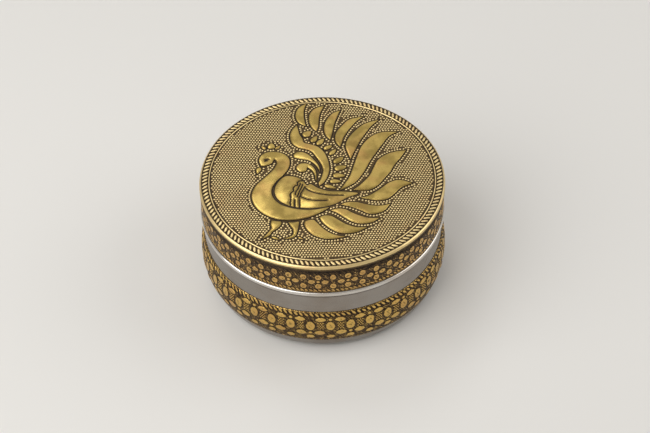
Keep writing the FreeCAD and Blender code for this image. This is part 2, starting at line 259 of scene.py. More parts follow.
def bowl_skin(off):
    """The bowl's outside from foot to ledge, moved in by off."""
    join = math.degrees(math.asin((BELLY_FOOT_Z - CORNER_R) / CORNER_R))
    skin = bend(corner_centre, CORNER_R - off, -90, join, 12)
    skin += [(bowl_r(z) - off, z) for z in (9, 11, 13, 15, 17, 19, 21, 23, 25, 27, 29, 31, 33, 34.5, 36)]
    skin += bend((WALL_R - LEDGE_BEND, LEDGE_Z - LEDGE_BEND), LEDGE_BEND - off, 0, 90, 5)
    return skin


bowl_outside = [(0, PANEL_RISE), (PANEL_R, PANEL_RISE), (PANEL_R + PANEL_RISE, 0)] + bowl_skin(0)
bowl_outside += [(NECK_R, LEDGE_Z), (NECK_R, NECK_TOP_Z - 0.2)]
bowl_inside = [(0, PANEL_RISE + STEEL), (PANEL_R, PANEL_RISE + STEEL), (PANEL_R + PANEL_RISE, STEEL)]
bowl_inside += bowl_skin(STEEL) + [(NECK_R - STEEL, LEDGE_Z - STEEL), (NECK_R - STEEL, NECK_TOP_Z - 0.2)]
lip = [(NECK_R - STEEL / 3, NECK_TOP_Z), (NECK_R - 2 * STEEL / 3, NECK_TOP_Z)]
bowl = lathe("bowl", bowl_outside + lip + bowl_inside[::-1])
sharpen(bowl, 35)


def turned_steel(name, steel_hex, roughness, lines_per_mm, painted_shade_z=None):
    """Stainless steel polished on a lathe: fine rings that stretch its highlights, faint brownish
    haze where it has been handled, and a painted shade line under the lid's curl at painted_shade_z."""
    material, tree = new_material(name)
    place = add(tree, "ShaderNodeTexCoord").outputs["Object"]
    parts = add(tree, "ShaderNodeSeparateXYZ", {0: place})
    flat = add(tree, "ShaderNodeCombineXYZ", {"X": parts.outputs["X"], "Y": parts.outputs["Y"]})
    radius = add(tree, "ShaderNodeVectorMath", {0: flat.outputs[0]}, operation="LENGTH")
    along = add(tree, "ShaderNodeMath", {0: radius.outputs["Value"], 1: parts.outputs["Z"]}, operation="ADD")
    lines = add(tree, "ShaderNodeTexNoise", {"W": along.outputs[0]},
                {"Scale": lines_per_mm / MM, "Detail": 3.0, "Roughness": 0.7}, noise_dimensions="1D")
    broad = add(tree, "ShaderNodeTexNoise", {"W": along.outputs[0]},
                {"Scale": 0.35 / MM, "Detail": 2.0}, noise_dimensions="1D")
    haze = add(tree, "ShaderNodeTexNoise", {"Vector": place}, {"Scale": 0.045 / MM, "Detail": 5.0})
    haze_amount = add(tree, "ShaderNodeMapRange", {"Value": haze.outputs["Fac"]},
                      {"From Min": 0.42, "From Max": 0.72, "To Min": 0.0, "To Max": 1.0})
    rough_lines = add(tree, "ShaderNodeMapRange", {"Value": lines.outputs["Fac"]},
                      {"From Min": 0.3, "From Max": 0.7, "To Min": roughness * 0.75, "To Max": roughness * 1.3})
    rough = add(tree, "ShaderNodeMath", {0: haze_amount.outputs[0], 2: rough_lines.outputs[0]},
                {1: 0.10}, operation="MULTIPLY_ADD")
    hazed = tuple(c * tone for c, tone in zip(linear(steel_hex), (0.82, 0.76, 0.70, 1)))
    colour = add(tree, "ShaderNodeMix", {"Factor": haze_amount.outputs[0]},
                 {"A": linear(steel_hex), "B": hazed}, data_type="RGBA")
    # Painted shade: the steel is darkened towards #3A322B in a band round the given height, under the lid's curl.
    if painted_shade_z:
        offset = add(tree, "ShaderNodeMath", {0: parts.outputs["Z"]}, {1: (painted_shade_z + 0.1) * MM},
                     operation="SUBTRACT")
        apart = add(tree, "ShaderNodeMath", {0: offset.outputs[0]}, operation="ABSOLUTE")
        near = add(tree, "ShaderNodeMapRange", {"Value": apart.outputs[0]},
                   {"From Min": 0.4 * MM, "From Max": 1.8 * MM, "To Min": 0.7, "To Max": 0.0},
                   interpolation_type="SMOOTHSTEP")
        colour = add(tree, "ShaderNodeMix", {"Factor": near.outputs[0], "A": colour.outputs[2]},
                     {"B": linear("#3A322B")}, data_type="RGBA")
    bump = add(tree, "ShaderNodeBump", {"Height": lines.outputs["Fac"]},
               {"Strength": 0.10, "Distance": 0.00004})
    wave = add(tree, "ShaderNodeBump", {"Height": broad.outputs["Fac"], "Normal": bump.outputs[0]},
               {"Strength": 0.5, "Distance": 0.00022})
    metal = add(tree, "ShaderNodeBsdfPrincipled",
                {"Base Color": colour.outputs[2], "Roughness": rough.outputs[0], "Normal": wave.outputs[0]},
                {"Metallic": 1.0})
    add(tree, "ShaderNodeOutputMaterial", {"Surface": metal.outputs[0]})
    return material


# Painted shade: the wall's steel colour #98928B is darker than the lid's same steel and stands for the dark
# surroundings it reflects. The material also carries the painted shade line under the lid's curl.
painted_shade_wall_steel = turned_steel("satin_stainless_steel_painted_dark", "#98928B", 0.21, TURNING_LINES_PER_MM, LEDGE_Z)
bowl.data.materials.append(painted_shade_wall_steel)
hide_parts("base_bowl")
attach(bowl, "base")


# The strip round the belly: thin brass stamped in a rolling die with a roped edge, rows of
# four-petalled flowers, tall ovals and small squares of dots, darkened and rubbed bright.
BRASS = 0.4
STRIP_FOOT_Z, STRIP_TOP_Z = 11.2, 35.8
SEAM_AT, SEAM_GAP = 135.0, 0.25
BELLY_ROPE_Z, BELLY_ROPE_HALF = 34.1, 1.15
BELLY_ROPE_LOBES = 150
FLOWERS = 20                      # upper and lower flowers, each one every 18 degrees
UPPER_FLOWER_AT, LOWER_FLOWER_AT = -87.5, -96.5
STAMP_RISE = 0.36


def stamping(name, half_wide, half_high, rise, point=0.0, turn=0.0, sides=14, dish=0.0, line=0.32):
    """A raised oval of the die, wider across Y than up Z, its crown towards +X, with a dark line
    engraved round it. Point draws its ends in to a leaf, turn slants it, dish sinks its middle."""
    slant = Matrix.Rotation(math.radians(turn), 3, "X")
    # Each ring is its share of the size, how much wider it is, its height and its rise.
    rings = [(1, line, 0.06, 0.0), (1, 0, 0.06, 0.02), (0.93, 0, 0.62, 0.55), (0.74, 0, 1.0, 1.0),
             (0.42, 0, 1.0 - dish, 1.0 - dish)]
    if not line:
        rings = rings[1:]
    points, values, faces = [], [], []
    for share, wider, height, value in rings:
        for i in range(sides):
            a = 2 * math.pi * i / sides
            y, z = math.cos(a), math.sin(a)
            z *= 1 - point * abs(y) ** 2
            place = slant @ Vector((0, y * (share * half_wide + wider), z * (share * half_high + wider)))
            points.append((rise * height, place.y, place.z))
            values.append(value)
    points.append((rise * (1 - 1.6 * dish), 0, 0))
    values.append(1 - 1.6 * dish)
    for k in range(len(rings) - 1):
        for i in range(sides):
            j = (i + 1) % sides
            faces.append((k * sides + i, k * sides + j, (k + 1) * sides + j, (k + 1) * sides + i))
    top = (len(rings) - 1) * sides
    faces += [(top + i, top + (i + 1) % sides, len(points) - 1) for i in range(sides)]
    return mesh_object(name, points, faces, values)


def ring_tree():
    """Geometry nodes that set one stamping round a ring, leaning with the wall it lies on."""
    tree = bpy.data.node_groups.new("stampings_round_a_ring", "GeometryNodeTree")
    face = tree.interface
    face.new_socket("Geometry", in_out="INPUT", socket_type="NodeSocketGeometry")
    for name, kind in (("Stamping", "Object"), ("Finish", "Material"), ("Count", "Int"),
                       ("First angle", "Float"), ("Radius", "Float"), ("Height", "Float"),
                       ("Lean", "Float")):
        face.new_socket(name, in_out="INPUT", socket_type="NodeSocket" + kind)
    face.new_socket("Geometry", in_out="OUTPUT", socket_type="NodeSocketGeometry")
    given = add(tree, "NodeGroupInput").outputs
    step = add(tree, "ShaderNodeMath", {1: given["Count"]}, {0: 2 * math.pi}, operation="DIVIDE")
    index = add(tree, "GeometryNodeInputIndex")
    angle = add(tree, "ShaderNodeMath", {0: index.outputs[0], 1: step.outputs[0], 2: given["First angle"]},
                operation="MULTIPLY_ADD").outputs[0]
    cosine = add(tree, "ShaderNodeMath", {0: angle}, operation="COSINE")
    sine = add(tree, "ShaderNodeMath", {0: angle}, operation="SINE")
    x = add(tree, "ShaderNodeMath", {0: cosine.outputs[0], 1: given["Radius"]}, operation="MULTIPLY")
    y = add(tree, "ShaderNodeMath", {0: sine.outputs[0], 1: given["Radius"]}, operation="MULTIPLY")
    place = add(tree, "ShaderNodeCombineXYZ", {0: x.outputs[0], 1: y.outputs[0], 2: given["Height"]})
    points = add(tree, "GeometryNodePoints", {"Count": given["Count"], "Position": place.outputs[0]})
    turn = add(tree, "ShaderNodeCombineXYZ", {1: given["Lean"], 2: angle})
    shape = add(tree, "GeometryNodeObjectInfo", {"Object": given["Stamping"]})
    spread = add(tree, "GeometryNodeInstanceOnPoints",
                 {"Points": points.outputs[0], "Instance": shape.outputs["Geometry"],
                  "Rotation": turn.outputs[0]})
    real = add(tree, "GeometryNodeRealizeInstances", {0: spread.outputs[0]})
    finish = add(tree, "GeometryNodeSetMaterial", {"Geometry": real.outputs[0], "Material": given["Finish"]})
    add(tree, "NodeGroupOutput", {0: finish.outputs[0]})
    return tree


def set_inputs(modifier, tree, values):
    """Fill a modifier's inputs, which it knows by identifier, from their names."""
    for item in tree.interface.items_tree:
        if item.in_out == "INPUT" and item.name in values:
            modifier[item.identifier] = values[item.name]


def settle(obj):
    """Turn what an object's modifiers make into its plain mesh."""
    graph = bpy.context.evaluated_depsgraph_get()
    made = bpy.data.meshes.new_from_object(obj.evaluated_get(graph))
    obj.modifiers.clear()
    obj.data = made
    return obj


ring_nodes = ring_tree()


def ring_of(shape, finish, count, first, radius, height, lean=0.0):
    """One stamping repeated round a ring, as an object at the origin."""
    holder = mesh_object("ring", [], [])
    modifier = holder.modifiers.new("ring", "NODES")
    modifier.node_group = ring_nodes
    set_inputs(modifier, ring_nodes, {
        "Stamping": shape, "Finish": finish, "Count": count, "First angle": math.radians(first),
        "Radius": radius * MM, "Height": height * MM, "Lean": lean})
    return settle(holder)


def join(name, objects):
    """One object from several, with their shared values per point kept."""
    with bpy.context.temp_override(active_object=objects[0], object=objects[0],
                                   selected_editable_objects=objects, selected_objects=objects):
        bpy.ops.object.join()
    objects[0].name = name
    objects[0].data.name = name
    return objects[0]


def antique_brass(name, crown_hex, ground_hex, rosy_hex, roughness, rosy_amount, scratches=0.0, dents=0.0,
                  rubbed=0.06, tarnish=0.0):
    """Stamped brass dipped dark and rubbed. Rise 0 is an engraved line, still black-brown; about
    0.4 is the ground, half rubbed and crossed by slanting scratches; 0.8 and more is bare metal.
    Rosy clouds, grime and shallow dents keep any of them from one flat colour."""
    material, tree = new_material(name)
    place = add(tree, "ShaderNodeTexCoord").outputs["Object"]
    rise = add(tree, "ShaderNodeAttribute", attribute_name="rise", attribute_type="GEOMETRY")
    clouds = add(tree, "ShaderNodeTexNoise", {"Vector": place}, {"Scale": 0.085 / MM, "Detail": 4.0})
    grime = add(tree, "ShaderNodeTexNoise", {"Vector": place}, {"Scale": 1.1 / MM, "Detail": 4.0})
    uneven = add(tree, "ShaderNodeMapRange", {"Value": grime.outputs["Fac"]},
                 {"From Min": 0.3, "From Max": 0.7, "To Min": -0.1, "To Max": 0.1})
    level = add(tree, "ShaderNodeMath", {0: rise.outputs["Fac"], 1: uneven.outputs[0]}, operation="ADD")
    if scratches:
        seam_last = add(tree, "ShaderNodeVectorRotate", {"Vector": place}, {"Angle": math.radians(45)},
                        rotation_type="Z_AXIS")
        parts = add(tree, "ShaderNodeSeparateXYZ", {0: seam_last.outputs[0]})
        turn = add(tree, "ShaderNodeMath", {0: parts.outputs["Y"], 1: parts.outputs["X"]}, operation="ARCTAN2")
        round_wall = add(tree, "ShaderNodeMath", {0: turn.outputs[0]}, {1: 76 * MM}, operation="MULTIPLY")
        rising = add(tree, "ShaderNodeMath", {0: round_wall.outputs[0], 1: parts.outputs["Z"]}, operation="ADD")
        falling = add(tree, "ShaderNodeMath", {0: round_wall.outputs[0], 1: parts.outputs["Z"]},
                      operation="SUBTRACT")
        across = add(tree, "ShaderNodeMath", {0: rising.outputs[0]}, {1: 1.5 / MM}, operation="MULTIPLY")
        along = add(tree, "ShaderNodeMath", {0: falling.outputs[0]}, {1: 0.22 / MM}, operation="MULTIPLY")
        slanting = add(tree, "ShaderNodeCombineXYZ", {0: across.outputs[0], 1: along.outputs[0]})
        marks = add(tree, "ShaderNodeTexNoise", {"Vector": slanting.outputs[0]}, {"Scale": 1.0, "Detail": 2.0})
        swing = add(tree, "ShaderNodeMapRange", {"Value": marks.outputs["Fac"]},
                    {"From Min": 0.35, "From Max": 0.65, "To Min": -scratches, "To Max": scratches})
        level = add(tree, "ShaderNodeMath", {0: level.outputs[0], 1: swing.outputs[0]}, operation="ADD")
    ground = add(tree, "ShaderNodeMapRange", {"Value": level.outputs[0]},
                 {"From Min": 0.08, "From Max": 0.36}, interpolation_type="SMOOTHSTEP")
    bare = add(tree, "ShaderNodeMapRange", {"Value": level.outputs[0]},
               {"From Min": 0.42, "From Max": 0.78}, interpolation_type="SMOOTHSTEP")
    rosy = add(tree, "ShaderNodeMapRange", {"Value": clouds.outputs["Fac"]},
               {"From Min": 0.5, "From Max": 0.7, "To Min": 0.0, "To Max": rosy_amount})
    crown = add(tree, "ShaderNodeMix", {"Factor": rosy.outputs[0]},
                {"A": linear(crown_hex), "B": linear(rosy_hex)}, data_type="RGBA")
    if tarnish:
        spread = add(tree, "ShaderNodeTexNoise", {"Vector": place}, {"Scale": 0.1 / MM, "Detail": 3.0})
        dulled = add(tree, "ShaderNodeMapRange", {"Value": spread.outputs["Fac"]},
                     {"From Min": 0.42, "From Max": 0.62, "To Min": 0.0, "To Max": tarnish},
                     interpolation_type="SMOOTHSTEP")
        crown = add(tree, "ShaderNodeMix", {"Factor": dulled.outputs[0], "A": crown.outputs[2]},
                    {"B": linear("#6E5C2C")}, data_type="RGBA")
    patina = add(tree, "ShaderNodeMix", {"Factor": ground.outputs[0]},
                 {"A": linear("#20160B"), "B": linear(ground_hex)}, data_type="RGBA")
    colour = add(tree, "ShaderNodeMix",
                 {"Factor": bare.outputs[0], "A": patina.outputs[2], "B": crown.outputs[2]}, data_type="RGBA")
    metallic = add(tree, "ShaderNodeMapRange", {"Value": bare.outputs[0]}, {"To Min": 0.6, "To Max": 1.0})
    dull = add(tree, "ShaderNodeMapRange", {"Value": bare.outputs[0]}, {"To Min": 0.5, "To Max": roughness})
    rough = add(tree, "ShaderNodeMath", {0: clouds.outputs["Fac"], 2: dull.outputs[0]},
                {1: 0.12}, operation="MULTIPLY_ADD")
    rub = add(tree, "ShaderNodeBump", {"Height": grime.outputs["Fac"]},
              {"Strength": 0.25, "Distance": rubbed * MM})
    if dents:
        swell = add(tree, "ShaderNodeTexNoise", {"Vector": place}, {"Scale": 0.055 / MM, "Detail": 0.0})
        rub = add(tree, "ShaderNodeBump", {"Height": swell.outputs["Fac"], "Normal": rub.outputs[0]},
                  {"Strength": 1.0, "Distance": dents * MM})
    metal = add(tree, "ShaderNodeBsdfPrincipled",
                {"Base Color": colour.outputs[2], "Metallic": metallic.outputs[0],
                 "Roughness": rough.outputs[0], "Normal": rub.outputs[0]})
    add(tree, "ShaderNodeOutputMaterial", {"Surface": metal.outputs[0]})
    return material


strip_brass = antique_brass("antiqued_brass_strip", "#DBB566", "#503C22", "#BD8B58", 0.25, 0.45, scratches=0.3)


def on_belly(z):
    """Radius of the strip's ground at a height, and how far its wall leans back from upright."""
    slope = (bowl_r(z + 0.5) - bowl_r(z - 0.5)) / 1.0
    return bowl_r(z) + BRASS, math.atan(slope)


def belly_ring(shape, count, first, z):
    """A ring of stampings that lies on the belly."""
    radius, lean = on_belly(z)
    return ring_of(shape, strip_brass, count, first, radius, z, lean)


strip_heights = [STRIP_FOOT_Z + 0.2] + [12.5 + 1.5 * k for k in range(14)] + [34.1, STRIP_TOP_Z]
strip_outside = [(on_belly(z)[0], z) for z in strip_heights]
strip_inside = [(bowl_r(z), z) for z in strip_heights]
strip_outline = [(bowl_r(STRIP_FOOT_Z), STRIP_FOOT_Z)] + strip_outside + strip_inside[::-1]
edge_rise = [0.3] + [0.5] + [0.36] * (len(strip_heights) - 3) + [0.0, 0.6] + [0.3] * len(strip_heights)
belly_strip = lathe("belly_strip", strip_outline, edge_rise, SEAM_AT + SEAM_GAP / 2, 360 - SEAM_GAP)

half_step = 360 / FLOWERS / 2
rope_lobe = stamping("rope_lobe", 1.75, 0.72, STAMP_RISE, turn=-42, sides=10, line=0)
belly_leaf = stamping("belly_leaf", 3.7, 1.8, STAMP_RISE, point=0.5, dish=0.12)
belly_seed = stamping("belly_seed", 1.25, 1.0, STAMP_RISE, line=0.2)
tall_oval = stamping("tall_oval", 2.95, 4.0, STAMP_RISE - 0.08, dish=0.2, sides=18)
belly_petal = stamping("belly_petal", 3.6, 2.35, STAMP_RISE - 0.08, point=0.3, dish=0.12)
foot_oval = stamping("foot_oval", 2.7, 1.75, STAMP_RISE, dish=0.12)
square_dot = stamping("square_dot", 0.5, 0.5, 0.3, sides=7, line=0.2)
belly_rings = [belly_ring(rope_lobe, BELLY_ROPE_LOBES, 0, BELLY_ROPE_Z)]
for first, z_leaf, leaf, offset in ((UPPER_FLOWER_AT, 30.7, belly_leaf, 4.4), (LOWER_FLOWER_AT, 19.6, belly_petal, 4.2)):
    belly_rings += [belly_ring(leaf, FLOWERS, first + side * offset, z_leaf) for side in (-1, 1)]
    belly_rings.append(belly_ring(belly_seed, FLOWERS, first, z_leaf + 0.1))
belly_rings.append(belly_ring(tall_oval, 2 * FLOWERS, UPPER_FLOWER_AT, 25.6))
belly_rings.append(belly_ring(foot_oval, 2 * FLOWERS, UPPER_FLOWER_AT, 15.9))
for row in range(5):
    for column in range(3 - row % 2):
        shift = (column - (2 - row % 2) / 2) * 1.12
        belly_rings.append(belly_ring(square_dot, 2 * FLOWERS,
                                      UPPER_FLOWER_AT + half_step / 2 + shift, 23.4 + 1.12 * row))
belly_strip.data.materials.append(strip_brass)
belly_strip = join("belly_strip", [belly_strip] + belly_rings)
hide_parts("base_side_strip")
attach(belly_strip, "base")


# The lid: the same steel sheet, pressed flat with a bent corner and a straight skirt whose
# lower edge is curled outwards into a bead, which is polished brightest of all.
LID_R, LID_TOP_Z, LID_BEND = 75.2, 75.4, 1.8
CURL_W, CURL_H, LID_FOOT_Z = 2.2, 3.1, 50.75
CURL_MOUTH = 75                  # degrees past level where the curl stops

curl_half = CURL_W / 2
curl_r = LID_R - STEEL + curl_half
curl_low, curl_high = (curl_r, LID_FOOT_Z + curl_half), (curl_r, LID_FOOT_Z + CURL_H - curl_half)
lid_corner = (LID_R - LID_BEND, LID_TOP_Z - LID_BEND)
lid_outline = [(0, LID_TOP_Z)] + bend(lid_corner, LID_BEND, 90, 0, 6)
lid_outline += bend(curl_low, curl_half - STEEL, -180, 0, 8)
lid_outline += bend(curl_high, curl_half - STEEL, 0, CURL_MOUTH, 3)
lid_outline += bend(curl_high, curl_half, CURL_MOUTH, 0, 5) + bend(curl_low, curl_half, 0, -180, 10)
lid_outline += bend(lid_corner, LID_BEND - STEEL, 0, 90, 5) + [(0, LID_TOP_Z - STEEL)]
lid_shell = lathe("lid_shell", lid_outline)
sharpen(lid_shell, 35)
bright_bead = turned_steel("polished_stainless_steel", "#D6D2CC", 0.13, TURNING_LINES_PER_MM)
lid_shell.data.materials.append(bright_bead)
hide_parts("lid_pan")
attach(lid_shell, "lid")


# The strip round the lid: the same stamped brass in a smaller pattern of ovals and rosettes
# with a leafy lower edge, its plain upper margin tucked under the turned-down top sheet.
LID_STRIP_FOOT_Z, LID_STRIP_TOP_Z = 53.95, 73.6
LID_STRIP_R = LID_R + BRASS
ROSETTES = 27
ROSETTE_AT = -92.65
LEAVES = 180

strip_outline = [(LID_R, LID_STRIP_FOOT_Z), (LID_STRIP_R, LID_STRIP_FOOT_Z), (LID_STRIP_R + 0.25, LID_STRIP_FOOT_Z + 0.3),
                 (LID_STRIP_R, LID_STRIP_FOOT_Z + 0.9), (LID_STRIP_R, 57.0), (LID_STRIP_R, 62.0),
                 (LID_STRIP_R, 67.0), (LID_STRIP_R, LID_STRIP_TOP_Z), (LID_R, LID_STRIP_TOP_Z)]
lid_strip = lathe("lid_strip", strip_outline, [0.2, 0.4, 0.7, 0.34, 0.34, 0.34, 0.34, 0.05, 0.0],
                  SEAM_AT + SEAM_GAP / 2, 360 - SEAM_GAP)
lid_strip_brass = antique_brass("antiqued_brass_lid_strip", "#D6AE68", "#503D25", "#B88955", 0.27, 0.4,
                                scratches=0.3)
side_oval = stamping("side_oval", 2.1, 2.35, STAMP_RISE, dish=0.28)
side_petal = stamping("side_petal", 2.3, 1.85, STAMP_RISE, point=0.2, dish=0.25)
side_seed = stamping("side_seed", 1.05, 1.05, STAMP_RISE, line=0.2)
side_leaf = stamping("side_leaf", 1.5, 0.62, 0.28, point=0.3, turn=-35, sides=10, line=0.2)
side_grain = stamping("side_grain", 0.42, 0.42, 0.16, sides=6, line=0)
column = 360 / ROSETTES / 2
side_rings = [(side_oval, 2 * ROSETTES, ROSETTE_AT, 67.2), (side_oval, 2 * ROSETTES, ROSETTE_AT, 59.5),
              (side_petal, ROSETTES, ROSETTE_AT - 3.05, 63.2), (side_petal, ROSETTES, ROSETTE_AT + 3.05, 63.2),
              (side_seed, ROSETTES, ROSETTE_AT, 63.3), (side_leaf, LEAVES, 0, 55.8),
              (side_grain, 2 * ROSETTES, ROSETTE_AT + column / 2, 68.6),
              (side_grain, 2 * ROSETTES, ROSETTE_AT + column / 2, 58.0),
              (side_grain, ROSETTES, ROSETTE_AT + column - 0.6, 63.9),
              (side_grain, ROSETTES, ROSETTE_AT + column + 0.6, 62.7)]
lid_strip.data.materials.append(lid_strip_brass)
side_pieces = [ring_of(shape, lid_strip_brass, count, first, LID_STRIP_R, z)
               for shape, count, first, z in side_rings]
lid_strip = join("lid_strip", [lid_strip] + side_pieces)
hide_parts("lid_side_strip")
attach(lid_strip, "lid")
for shape in (rope_lobe, belly_leaf, belly_seed, tall_oval, belly_petal, foot_oval, square_dot,
              side_oval, side_petal, side_seed, side_leaf, side_grain):
    bpy.data.objects.remove(shape)


# The top sheet: one round of brass pressed over the steel, with a fine bead and a roped ring
# round its field and its edge turned down over the side strip as a roll with a painted highlight.
FIELD_Z = 75.8
RIM_R, RIM_BEND, RIM_RISE, RIM_FOOT_Z = 76.1, 2.0, 0.2, 72.8
BEAD_R, BEAD_HALF, BEAD_RISE = 70.0, 0.45, 0.5
ROPE_INNER_R, ROPE_OUTER_R, ROPE_LOBES = 71.2, 74.0, 151
GROOVE_DEPTH = 0.12

rim_centre = (RIM_R - RIM_BEND, FIELD_Z + RIM_RISE - RIM_BEND)
sheet = [((0, FIELD_Z), 0.3), ((20, FIELD_Z), 0.3), ((45, FIELD_Z), 0.3), ((68.9, FIELD_Z), 0.3)]
sheet += [((69.3, FIELD_Z), 0.0), ((BEAD_R - BEAD_HALF, FIELD_Z), 0.1)]
sheet += [((BEAD_R + BEAD_HALF * math.cos(math.radians(a)), FIELD_Z + BEAD_RISE * math.sin(math.radians(a))), 0.95)
          for a in (150, 120, 90, 60, 30)]
sheet += [((BEAD_R + BEAD_HALF, FIELD_Z), 0.1), ((ROPE_INNER_R, FIELD_Z - GROOVE_DEPTH), 0.22),
          ((ROPE_OUTER_R - 0.2, FIELD_Z - GROOVE_DEPTH), 0.22)]
# Painted highlight and painted shade: the roll's top and its turned-down foot are kept dark, and only a band between
# them is bright, where a lamp's highlight falls.
rim_rise_painted_highlight = [0.12, 0.14, 0.2, 0.3, 0.45, 0.8, 1, 1, 1, 1, 1, 1, 1, 0.9, 0.7, 0.5, 0.42]
sheet += list(zip(bend(rim_centre, RIM_BEND, 90, 0, 16), rim_rise_painted_highlight))
sheet += [((RIM_R, RIM_FOOT_Z + 0.25), 0.38), ((RIM_R - 0.15, RIM_FOOT_Z), 0.1), ((RIM_R - BRASS, RIM_FOOT_Z), 0.1)]
sheet += [(p, 0.1) for p in bend(rim_centre, RIM_BEND - BRASS, 0, 90, 4)]
sheet += [((rim_centre[0], LID_TOP_Z), 0.1), ((0, LID_TOP_Z), 0.1)]
top_sheet = lathe("top_sheet", [p for p, _ in sheet], [rise for _, rise in sheet])
top_brass = antique_brass("antiqued_brass_top", "#E4CC94", "#5A4728", "#D9B07C", 0.28, 0.4, dents=0.45)
top_sheet.data.materials.append(top_brass)
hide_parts("lid_top_sheet")
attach(top_sheet, "lid")


# The roped ring: slanting lobes struck between the bead and the roll.
def lay_flat(obj):
    """Turn a stamping's crown from outwards to up, with its high side towards the rim."""
    obj.data.transform(Matrix.Rotation(math.radians(-90), 4, "Y"))
    return obj


top_lobe = lay_flat(stamping("top_lobe", 2.35, 0.8, 0.46, turn=-52, sides=12, line=0))
rope_ring = ring_of(top_lobe, top_brass, ROPE_LOBES, 0, (ROPE_INNER_R + ROPE_OUTER_R) / 2, FIELD_Z - GROOVE_DEPTH)
rope_ring.name = rope_ring.data.name = "roped_ring"
bpy.data.objects.remove(top_lobe)
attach(rope_ring, "lid")


# The peacock: one bird struck up from the sheet in plates, each with a rounded edge, a full
# crown and a dark line engraved round it. Outlines are in millimetres from the lid's middle.
BIRD_RISE = 0.8
EDGE_ROUND = 0.7
LINE_WIDTH = 0.6

